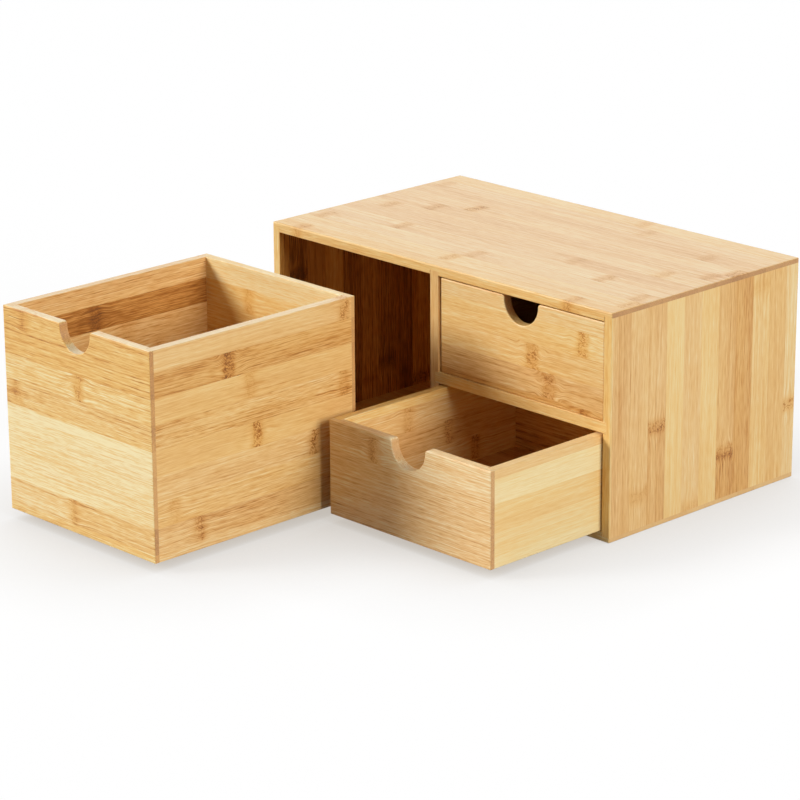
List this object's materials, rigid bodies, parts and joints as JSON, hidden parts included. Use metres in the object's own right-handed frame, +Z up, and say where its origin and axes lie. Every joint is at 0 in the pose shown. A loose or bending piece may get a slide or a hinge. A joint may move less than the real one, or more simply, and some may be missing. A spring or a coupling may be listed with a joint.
{
  "type": "desktop drawer organizer",
  "caption": "Bamboo desktop organizer: an open-fronted case with a tall bay beside stacked low bays, each holding a pull-out drawer with a half-round finger notch.",
  "frame": {"origin": "centre of the case's underside, on the desk", "axes": "+X to the right seen from the front, -Y towards the front, where the drawers open, +Z up"},
  "size_m": [0.33, 0.4415, 0.16],
  "materials": {
    "pale_bamboo": "satin clear lacquer over pale bamboo",
    "honey_bamboo": "satin clear lacquer over honey bamboo",
    "brown_bamboo": "satin clear lacquer over browner bamboo"
  },
  "bodies": {
    "case": {"top_panel": "pale_bamboo", "bottom_panel": "pale_bamboo", "left_side": "honey_bamboo", "right_side": "honey_bamboo", "divider": "brown_bamboo", "shelf": "brown_bamboo", "back_panel": "brown_bamboo"},
    "tall_drawer": {"tall_front": "honey_bamboo", "tall_back": "brown_bamboo", "tall_left": "honey_bamboo", "tall_right": "honey_bamboo", "tall_bottom": "brown_bamboo"},
    "upper_drawer": {"upper_front": "honey_bamboo", "upper_back": "brown_bamboo", "upper_left": "honey_bamboo", "upper_right": "honey_bamboo", "upper_bottom": "brown_bamboo"},
    "lower_drawer": {"lower_front": "honey_bamboo", "lower_back": "brown_bamboo", "lower_left": "honey_bamboo", "lower_right": "honey_bamboo", "lower_bottom": "brown_bamboo"}
  },
  "joints": [
    {"name": "tall_drawer_slide", "type": "slide", "parent": "case", "child": "tall_drawer", "axis": [0, -1, 0], "range_m": [-0.252, 0]},
    {"name": "upper_drawer_slide", "type": "slide", "parent": "case", "child": "upper_drawer", "axis": [0, -1, 0], "range_m": [0, 0.185]},
    {"name": "lower_drawer_slide", "type": "slide", "parent": "case", "child": "lower_drawer", "axis": [0, -1, 0], "range_m": [-0.106, 0.079]}
  ]
}
